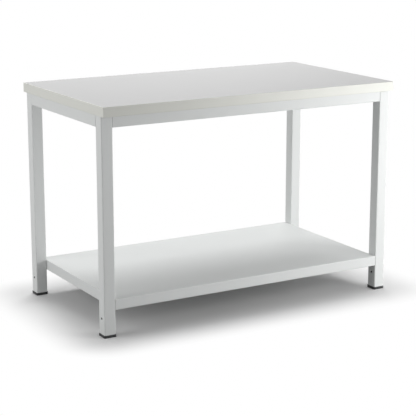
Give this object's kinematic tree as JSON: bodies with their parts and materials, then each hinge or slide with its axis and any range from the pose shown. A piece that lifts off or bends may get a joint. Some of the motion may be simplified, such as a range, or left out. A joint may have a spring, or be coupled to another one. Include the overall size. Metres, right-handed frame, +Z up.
{
  "type": "assembly table",
  "caption": "Free-standing workshop table with a thick laminated worktop, a square tube frame, a folded sheet shelf near the floor and black plastic feet.",
  "frame": {"origin": "on the floor, under the middle of the worktop", "axes": "+X along the long side to the right, +Y from the front edge to the rear edge, +Z up"},
  "size_m": [1.25, 0.7, 0.84],
  "materials": {
    "laminate": "light grey melamine laminate, fine matt texture",
    "edging": "warm light grey plastic edge band, satin",
    "chipboard": "raw chipboard",
    "frame_paint": "light grey powder coat, satin with a fine orange peel",
    "foot_plastic": "black moulded plastic",
    "zinc": "bright zinc plate"
  },
  "bodies": {
    "root": {"worktop_core": "chipboard", "top_laminate": "laminate", "backing_laminate": "laminate", "edge_band_front": "edging", "edge_band_rear": "edging", "edge_band_left": "edging", "edge_band_right": "edging", "leg_front_left": "frame_paint", "leg_front_right": "frame_paint", "leg_rear_left": "frame_paint", "leg_rear_right": "frame_paint", "foot_front_left": "foot_plastic", "foot_front_right": "foot_plastic", "foot_rear_left": "foot_plastic", "foot_rear_right": "foot_plastic", "rail_front": "frame_paint", "rail_rear": "frame_paint", "rail_left": "frame_paint", "rail_right": "frame_paint", "corner_plate_front_left": "frame_paint", "corner_plate_front_right": "frame_paint", "corner_plate_rear_left": "frame_paint", "corner_plate_rear_right": "frame_paint", "worktop_screw_front_left_1": "zinc", "worktop_screw_front_left_2": "zinc", "worktop_screw_front_right_1": "zinc", "worktop_screw_front_right_2": "zinc", "worktop_screw_rear_left_1": "zinc", "worktop_screw_rear_left_2": "zinc", "worktop_screw_rear_right_1": "zinc", "worktop_screw_rear_right_2": "zinc", "lower_shelf": "frame_paint", "shelf_stiffener": "frame_paint", "shelf_bolt_front_left": "zinc", "shelf_bolt_front_right": "zinc", "shelf_bolt_rear_left": "zinc", "shelf_bolt_rear_right": "zinc"}
  },
  "joints": []
}
